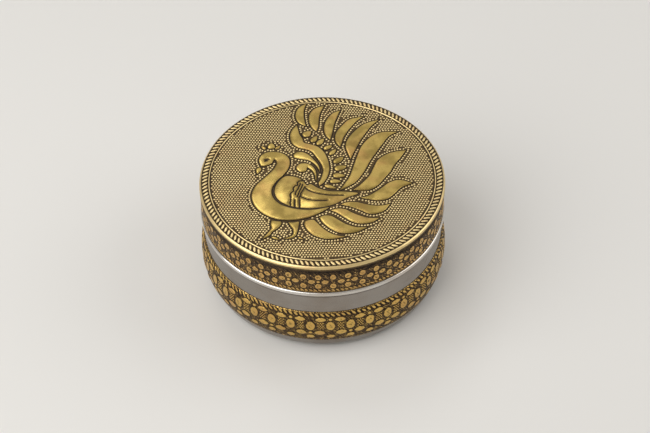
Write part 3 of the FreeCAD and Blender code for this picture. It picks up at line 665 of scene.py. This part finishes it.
# A feather is its two edges from root to tip.
FEATHERS = [
    # the tail, from the uppermost feather round to the lowest
    ([(-9.6, 46.4), (-13, 48.3), (-15.4, 51.2), (-16.7, 56), (-16, 61.6), (-13.6, 65.8), (-9, 69)],
     [(-9.6, 46.4), (-10.5, 51.5), (-11, 57.5), (-10.6, 63.5), (-9, 69)]),
    ([(-3, 41), (-5.6, 44.2), (-7.4, 48.4), (-8.1, 53), (-7.3, 58.6), (-4, 63.6), (2.6, 66.8)],
     [(-3, 41), (-1.7, 46), (-1.4, 51.5), (-0.4, 58.5), (2.6, 66.8)]),
    ([(5.6, 33), (3, 36.6), (1.8, 41), (1.8, 46.4), (3.4, 52.4), (7.2, 58.4), (12.8, 61.6)],
     [(5.6, 33), (6.7, 37.4), (7.6, 42.6), (9.2, 50.6), (12.8, 61.6)]),
    ([(11.8, 26), (9.2, 30.4), (8.5, 35.4), (9.8, 41), (13.2, 46.6), (18.6, 52.6), (28.4, 55.2)],
     [(11.8, 26), (13.1, 30.5), (14.4, 35.6), (17.4, 41.8), (20.8, 47.4), (24, 51.6), (28.4, 55.2)]),
    ([(18, 14.4), (16.2, 20.6), (15, 26.6), (16.2, 32.6), (20, 39.5), (27.4, 47.6), (38, 52)],
     [(18, 14.4), (20, 20.2), (22.2, 25.8), (25, 32.4), (28.8, 39.6), (32.4, 45.6), (38, 52)]),
    ([(10.4, -12.6), (14.3, -5.6), (17, 0), (19.6, 9), (22, 17.4), (25.2, 26.8), (31, 35.2),
      (38.6, 39.6), (49.2, 39.6)],
     [(10.4, -12.6), (16, -9.4), (21.4, -4.6), (26.6, 4.4), (30.6, 13.6), (34.8, 21.4), (39.2, 29.2),
      (43.2, 35.6), (49.2, 39.6)]),
    ([(18.6, -12.4), (22.6, -8.6), (26.2, -4.2), (29.6, 1), (32, 7.2), (34.8, 13.6), (40, 18.6),
      (46.6, 21.4), (53.4, 22.4)],
     [(18.6, -12.4), (24.4, -13.1), (29.6, -12.4), (34.6, -8.4), (38.8, -2.4), (42.6, 3.2), (45.6, 9.6),
      (49.6, 15.6), (53.4, 22.4)]),
    ([(22.4, -19.4), (28, -17.4), (33, -13.8), (37.4, -9.8), (41.8, -6), (48, -4.3), (55.8, -7.4)],
     [(22.4, -19.4), (28.4, -21), (34.4, -22), (39.8, -20.6), (44.4, -16), (48.8, -11), (55.8, -7.4)]),
    ([(10.4, -25), (14.4, -22.9), (20, -22.7), (26, -24.6), (31, -26), (36, -26.1), (41.4, -24.6)],
     [(10.4, -25), (16.6, -26.8), (22.6, -29.9), (26.6, -32.6), (31, -33.3), (37, -30.8), (41.4, -24.6)]),
    ([(4.4, -29.6), (8.6, -28), (13.6, -28.7), (18.4, -32), (23, -34.6), (28, -36.4), (34.4, -36.6)],
     [(4.4, -29.6), (8.4, -31.8), (12.8, -35.8), (17, -39.3), (22.4, -41.2), (29, -40.4), (34.4, -36.6)]),
    ([(-2.4, -35), (1, -33.6), (5.2, -34.2), (9.6, -37.7), (14, -41.2), (20, -43.8), (27, -44)],
     [(-2.4, -35), (-1, -38.6), (1.6, -42.2), (5.6, -46), (11.4, -48.8), (19.4, -48.2), (27, -44)]),
    ([(-8.4, -37.2), (-5.6, -37), (-3.2, -39.8), (0, -44.2), (4, -48), (8.6, -50.4), (14.4, -51.6)],
     [(-8.4, -37.2), (-10.8, -38.4), (-11.2, -41.6), (-9.2, -46.2), (-4.6, -50.8), (3.6, -53.4),
      (14.4, -51.6)]),
    # three plumes that curl up from the back
    ([(-15.6, 48.2), (-18.8, 43.2), (-20.1, 37.4), (-19, 31), (-15.2, 26.6), (-10.6, 24.8), (-6.6, 22.6),
      (-3.4, 17), (-0.8, 11.4), (0.5, 5), (-1, -2.2), (-2.4, -5.6), (-2, -8.8)],
     [(-15.6, 48.2), (-14.6, 43.4), (-13.8, 39), (-12, 35), (-10.9, 31.2), (-6.4, 29.3), (-2, 26.8),
      (1.8, 21.6), (4, 14.6), (4.8, 7.4), (3.9, 1.2), (1.4, -4.8), (-2, -8.8)]),
    ([(-18, 20.4), (-15.4, 22.5), (-11.6, 22.2), (-7.8, 19.4), (-4.6, 14.8), (-1.8, 9.4), (-0.9, 2.8)],
     [(-18, 20.4), (-17.4, 17.4), (-13.6, 15.9), (-8.4, 14.5), (-4.8, 11.2), (-2.5, 7), (-0.9, 2.8)]),
    ([(-8.9, 8.2), (-10.2, 4.8), (-13.6, 4.3), (-16.2, 7.6), (-14.4, 11.4), (-10, 12), (-6.2, 9.7),
      (-3.6, 4.4), (-3.4, -4.8)],
     [(-8.9, 8.2), (-6.2, 5), (-4.7, 1.2), (-4.4, -1.8), (-3.4, -4.8)]),
    # the beak and the two legs, each with its second toe
    ([(-38.6, 9.6), (-41.2, 7.2), (-40.3, 2.6)], [(-38.6, 9.6), (-37.6, 6.9), (-40.3, 2.6)]),
    ([(-31, -36.9), (-31.5, -40.4), (-31, -43.6), (-33.2, -47.4), (-36.8, -53)],
     [(-31, -36.9), (-27.6, -37.7), (-24.8, -38.3), (-25.3, -41.3), (-27.6, -44.3), (-30.4, -46.8),
      (-31.8, -49.4), (-36.8, -53)]),
    ([(-31.4, -50.4), (-29.2, -52.3), (-25, -53.6)], [(-31.4, -50.4), (-28.2, -50.6), (-25, -53.6)]),
    ([(-21, -38.6), (-19.7, -41.8), (-18, -45), (-18.2, -48.8), (-20.6, -51), (-24.4, -52.2)],
     [(-21, -38.6), (-17.7, -38.9), (-14.3, -38.6), (-14.5, -42.4), (-15.2, -46.6), (-16.4, -50.2),
      (-19.4, -52.4), (-24.4, -52.2)]),
    ([(-15.4, -51), (-14.2, -52.6), (-11, -53.4)], [(-15.4, -51), (-13.2, -51.4), (-11, -53.4)]),
]
BODY = [
    (-38.4, 11), (-39.6, 15.6), (-37.8, 20.4), (-33.4, 23), (-28, 22.8), (-22.6, 20), (-20, 14.8),
    (-20.6, 8), (-23.8, 2), (-28, -3.4), (-30.6, -9), (-30.8, -15), (-28, -21), (-22.6, -25.4),
    (-14, -28.2), (-5, -28.6), (4, -27), (-4, -33), (-12, -36.2), (-20.6, -37.2), (-29, -35.6),
    (-36.4, -31), (-41.6, -24), (-43.4, -15.6), (-41.2, -7.4), (-35.6, 0), (-31, 6), (-28.4, 12),
    (-29.6, 16), (-31.4, 12.4), (-35, 10.2), (-37, 10.2),
]
WING = [
    (-22.6, 1), (-26.2, -2.4), (-29, -8.6), (-29, -15.2), (-25.8, -21), (-19.4, -25.2), (-10, -27.2),
    (0, -26.6), (8, -23.8), (14.6, -19.2), (22, -15.2), (14, -13.4), (4, -12.6), (-2.6, -9.8), (-7, -6.2),
    (-9.3, -7.3), (-10.5, -5.6), (-12.4, -2.5), (-15, -0.4), (-18.6, 0.9),
]
# Scales: middle, half length, half width, turn in degrees.
SCALES = [
    (-9, 39.3, 3.4, 2.6, 42), (-4.6, 34.2, 3.4, 1.9, 56), (-0.6, 31.6, 3.6, 1.9, 50),
    (4, 26.3, 3.2, 1.7, 33), (7, 21.8, 3.4, 1.6, 51), (10.5, 14.5, 4.1, 2.1, 39),
    (11.5, 7.4, 4.0, 2.3, 16), (10.4, 0.5, 3.9, 2.0, -4), (8.1, -4.6, 3.6, 1.8, -4),
    (4.9, -9.3, 4.0, 1.4, -21),
    (-31.8, 28.4, 2.8, 2.4, 90), (-36.8, 27, 2.2, 1.1, 135), (-27.6, 27, 2.2, 1.1, 45),
]
# Lines engraved across the wing, and the eye.
WING_LINES = [
    [(-10.6, -9.6), (-8.4, -12), (-4.5, -14.2), (0.4, -15.6), (5, -16.4), (13, -16.8)],
    [(-13.4, -17.4), (-11.3, -18.7), (-8.4, -20.1), (-4.6, -20.8), (-0.7, -21), (3, -20.9)],
    # the ruff: its scalloped edge, its inner edge and two rows of hackles between them
    [(-12.2, -3.2), (-14.2, -3.7), (-15.3, -5.2), (-15.2, -7.4), (-16.8, -8), (-17.8, -9.9), (-17.7, -12.5),
     (-19.1, -13.9), (-19.7, -15.7), (-19.4, -18.4)],
    [(-10.5, -8.4), (-11.5, -10.7), (-12.5, -13.1), (-13.3, -14.8), (-13.3, -16.4), (-14.2, -17.8),
     (-14.2, -19.5)],
    [(-13.4, -5.9), (-14.2, -8.3), (-15, -10.8), (-16.2, -13.3), (-16.6, -16)],
    [(-12.1, -6.7), (-12.8, -9.5), (-13.8, -12.2), (-14.6, -15), (-15.4, -17.6)],
    # three bars from the ruff to the breast
    [(-19.4, -20.2), (-19.8, -22.5), (-19.3, -24.4)],
    [(-17, -20), (-17, -23.1), (-16.9, -26)],
    [(-14.2, -20.5), (-14.2, -23.2), (-13.9, -26.6)],
]
EYE = [(-35.5, 15.2), (-34.8, 15.5), (-34.0, 15.5)]


def curve_through(points, closed, step=0.45):
    """A smooth run of points through the given ones, about step apart."""
    count = len(points)
    path = []
    for k in range(count if closed else count - 1):
        if closed:
            p0, p1, p2, p3 = (Vector(points[(k + j) % count]) for j in (-1, 0, 1, 2))
        else:
            p1, p2 = Vector(points[k]), Vector(points[k + 1])
            p0 = Vector(points[k - 1]) if k else 2 * p1 - p2
            p3 = Vector(points[k + 2]) if k + 2 < count else 2 * p2 - p1
        parts = max(2, round((p2 - p1).length / step))
        for i in range(parts):
            t = i / parts
            path.append(0.5 * (2 * p1 + (p2 - p0) * t + (2 * p0 - 5 * p1 + 4 * p2 - p3) * t * t
                               + (3 * p1 - 3 * p2 + p3 - p0) * t ** 3))
    if not closed:
        path.append(Vector(points[-1]))
    return path


def feather_outline(left, right):
    """A leaf between two edges that run from one root to one tip."""
    return curve_through(left, False) + curve_through(right, False)[-2:0:-1]


def scale_outline(x, y, half_long, half_wide, turn):
    """A small oval lying at a slant, narrower towards its tip."""
    slant = Matrix.Rotation(math.radians(turn), 2)
    sides = 28
    return [slant @ Vector((half_long * math.cos(a), half_wide * math.sin(a) * (1 - 0.3 * math.cos(a))))
            + Vector((x, y)) for a in (2 * math.pi * i / sides for i in range(sides))]


def even(outline, step):
    """The same closed outline with its points an even step apart."""
    closed = outline + outline[:1]
    spaced, carry = [], 0.0
    for a, b in zip(closed, closed[1:]):
        length = (b - a).length
        while carry < length:
            spaced.append(a.lerp(b, carry / length))
            carry += step
        carry -= length
    return spaced


def nearest(paths):
    """A finder of the nearest of all the points of some paths."""
    tree = kdtree.KDTree(sum(len(path) for path in paths))
    n = 0
    for path in paths:
        for p in path:
            tree.insert((p.x, p.y, 0), n)
            n += 1
    tree.balance()
    return tree


def area_sign(outline):
    """Plus for an outline that runs anticlockwise, minus for clockwise."""
    return math.copysign(1, sum(a.x * b.y - b.x * a.y for a, b in zip(outline, outline[1:] + outline[:1])))


def offset_ring(outline, distance, finder):
    """Points a distance inside an outline, without those that come nearer to another part of it."""
    sign = area_sign(outline)
    kept = []
    for i, p in enumerate(outline):
        ahead = (outline[(i + 1) % len(outline)] - outline[i - 1])
        if ahead.length < 1e-9:
            continue
        ahead.normalize()
        q = p + Vector((-ahead.y, ahead.x)) * sign * distance
        if finder.find((q.x, q.y, 0))[2] > distance * 0.93:
            kept.append(q)
    return kept


def inside(outline, p):
    """Whether a point lies within a closed outline."""
    odd = False
    for a, b in zip(outline, outline[1:] + outline[:1]):
        if (a.y > p.y) != (b.y > p.y) and p.x < (b.x - a.x) * (p.y - a.y) / (b.y - a.y) + a.x:
            odd = not odd
    return odd


def plate(outline, grooves=(), cut_half=0.5, crown=0.3, crown_run=2.8):
    """Points, faces and rises of one raised plate of the bird, with its engraved border. Crown is
    the share of its height that it gains beyond its rounded edge, over about crown_run."""
    outline = even(outline, 0.42)
    finder = nearest([outline])
    groove_finder = nearest(grooves) if grooves else None
    ring = list(outline)
    extra = []
    for depth in (0.16, 0.42, EDGE_ROUND):
        extra += offset_ring(outline, depth, finder)[::1 if depth < 0.5 else 2]
    for path in grooves:
        extra += [p for p in path if inside(outline, p)]
        for side in (-0.3, 0.3, -0.55, 0.55):
            for a, b in zip(path, path[1:]):
                ahead = (b - a).normalized()
                q = a + Vector((-ahead.y, ahead.x)) * side
                if inside(outline, q) and groove_finder.find((q.x, q.y, 0))[2] > abs(side) * 0.9:
                    extra.append(q)
    grid = 0.95
    xs, ys = [p.x for p in outline], [p.y for p in outline]
    for i in range(int((max(xs) - min(xs)) / grid) + 1):
        for j in range(int((max(ys) - min(ys)) / grid) + 1):
            q = Vector((min(xs) + (i + 0.5 * (j % 2)) * grid, min(ys) + j * grid))
            if finder.find((q.x, q.y, 0))[2] > EDGE_ROUND + 0.35 and inside(outline, q):
                if not grooves or groove_finder.find((q.x, q.y, 0))[2] > 0.8:
                    extra.append(q)
    count = len(ring)
    border = [(i, (i + 1) % count) for i in range(count)]
    flat, _, faces, _, _, _ = geometry.delaunay_2d_cdt(ring + extra, border, [], 1, 1e-5)
    points, rises = [], []
    for p in flat:
        d = finder.find((p.x, p.y, 0))[2]
        t = min(d / EDGE_ROUND, 1)
        height = (1 - crown) * math.sqrt(1 - (1 - t) ** 2) + crown * (1 - math.exp(-d / crown_run))
        shine = min(1.0, 0.1 + 1.3 * t)
        if grooves:
            away_from = groove_finder.find((p.x, p.y, 0))[2]
            cut = min(1.0, max(0.0, (cut_half + 0.2 - away_from) / 0.4))
            height -= 0.55 * cut
            shine *= 1 - cut
        points.append((p.x, p.y, FIELD_Z + 0.02 + BIRD_RISE * 0.97 * max(height, 0)))
        rises.append(shine)
    base = len(points)
    sign = area_sign(outline)
    for i, p in enumerate(outline):
        ahead = (outline[(i + 1) % count] - outline[i - 1]).normalized()
        q = p - Vector((-ahead.y, ahead.x)) * sign * LINE_WIDTH
        points += [(p.x, p.y, FIELD_Z + 0.02), (q.x, q.y, FIELD_Z + 0.01)]
        rises += [0.0, 0.02]
    skirt = [(base + 2 * i, base + 2 * ((i + 1) % count), base + 2 * ((i + 1) % count) + 1, base + 2 * i + 1)
             for i in range(count)]
    if sign < 0:
        faces = [f[::-1] for f in faces]
    return points, [tuple(f) for f in faces] + [s[::-1] if sign > 0 else s for s in skirt], rises


plates = [feather_outline(left, right) for left, right in FEATHERS]
plates += [scale_outline(*scale) for scale in SCALES]
body_outline, wing_outline = curve_through(BODY, True), curve_through(WING, True)
wing_grooves = [curve_through(line, False, 0.35) for line in WING_LINES]
eye_groove = [curve_through(EYE, False, 0.35)]
bird_points, bird_faces, bird_rises = [], [], []
made = [plate(outline) for outline in plates]
made.append(plate(body_outline, eye_groove, cut_half=1.4, crown=0.16))
made.append(plate(wing_outline, wing_grooves, crown=0.9, crown_run=4.2))
for points, faces, rises in made:
    first = len(bird_points)
    bird_points += points
    bird_rises += rises
    bird_faces += [tuple(first + k for k in f) for f in faces]
peacock = mesh_object("peacock", bird_points, bird_faces, bird_rises)
for polygon in peacock.data.polygons:
    if polygon.normal.z < 0:
        polygon.flip()
bird_brass = antique_brass("polished_raised_brass", "#BCA25C", "#7A6232", "#B58A54", 0.17, 0.55,
                           dents=1.1, rubbed=0.002, tarnish=0.5)
peacock.data.materials.append(bird_brass)
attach(peacock, "lid")


# The field: rows of small round dots struck close together over all that the bird leaves.
DOT_PITCH, ROW_PITCH, ROW_TURN = 1.79, 1.67, math.radians(1.4)
DOT_HALF, DOT_RISE = 0.7, 0.36
LANE_OFF, LANE_STEP = 1.3, 1.72     # dots that follow the plates' edges, and their spacing
FIELD_R = 68.5

dot = lay_flat(stamping("dot", DOT_HALF, DOT_HALF, DOT_RISE, sides=8, line=0))
all_outlines = [even(o, 0.42) for o in plates + [body_outline, wing_outline]]
bird_edge = nearest(all_outlines)
boxes = [(min(p.x for p in o), max(p.x for p in o), min(p.y for p in o), max(p.y for p in o)) for o in all_outlines]


def on_the_field(p):
    """Whether a dot set here is clear of the rim and of every plate of the bird."""
    if p.length > FIELD_R or bird_edge.find((p.x, p.y, 0))[2] < LANE_OFF * 0.86:
        return False
    near = [o for o, (x0, x1, y0, y1) in zip(all_outlines, boxes) if x0 < p.x < x1 and y0 < p.y < y1]
    return not any(inside(o, p) for o in near)


spots = []
for outline in all_outlines:
    sign = area_sign(outline)
    for i, p in enumerate(outline):
        ahead = (outline[(i + 1) % len(outline)] - outline[i - 1]).normalized()
        q = p - Vector((-ahead.y, ahead.x)) * sign * LANE_OFF
        if on_the_field(q) and all((q - r).length > LANE_STEP for r in spots):
            spots.append(q)
lane = kdtree.KDTree(len(spots))
for i, q in enumerate(spots):
    lane.insert((q.x, q.y, 0), i)
lane.balance()
reach = int(FIELD_R / ROW_PITCH) + 2
for row in range(-reach, reach + 1):
    for column_number in range(-reach, reach + 1):
        x, y = (column_number + 0.5 * (row % 2)) * DOT_PITCH, row * ROW_PITCH
        q = Vector((x * math.cos(ROW_TURN) - y * math.sin(ROW_TURN), x * math.sin(ROW_TURN) + y * math.cos(ROW_TURN)))
        if on_the_field(q) and lane.find((q.x, q.y, 0))[2] > LANE_STEP * 0.84:
            spots.append(q)


def scatter_tree():
    """Geometry nodes that set one stamping on every point of a mesh."""
    tree = bpy.data.node_groups.new("stampings_on_points", "GeometryNodeTree")
    face = tree.interface
    face.new_socket("Geometry", in_out="INPUT", socket_type="NodeSocketGeometry")
    face.new_socket("Stamping", in_out="INPUT", socket_type="NodeSocketObject")
    face.new_socket("Finish", in_out="INPUT", socket_type="NodeSocketMaterial")
    face.new_socket("Geometry", in_out="OUTPUT", socket_type="NodeSocketGeometry")
    given = add(tree, "NodeGroupInput").outputs
    shape = add(tree, "GeometryNodeObjectInfo", {"Object": given["Stamping"]})
    spread = add(tree, "GeometryNodeInstanceOnPoints",
                 {"Points": given["Geometry"], "Instance": shape.outputs["Geometry"]})
    real = add(tree, "GeometryNodeRealizeInstances", {0: spread.outputs[0]})
    finish = add(tree, "GeometryNodeSetMaterial", {"Geometry": real.outputs[0], "Material": given["Finish"]})
    add(tree, "NodeGroupOutput", {0: finish.outputs[0]})
    return tree


dots = mesh_object("field_dots", [(q.x, q.y, FIELD_Z) for q in spots], [])
modifier = dots.modifiers.new("dots", "NODES")
modifier.node_group = scatter_tree()
set_inputs(modifier, modifier.node_group, {"Stamping": dot, "Finish": top_brass})
settle(dots)
bpy.data.objects.remove(dot)
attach(dots, "lid")


# The loose tray and its two half-lapped dividers: thin satin steel, lifted out to wash.
satin_steel = turned_steel("satin_steel_sheet", "#CFCBC6", 0.30, TURNING_LINES_PER_MM / 2)
for name in ("insert_tray", "partition_long", "partition_cross"):
    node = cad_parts[name]
    node.data.materials.clear()
    node.data.materials.append(satin_steel)
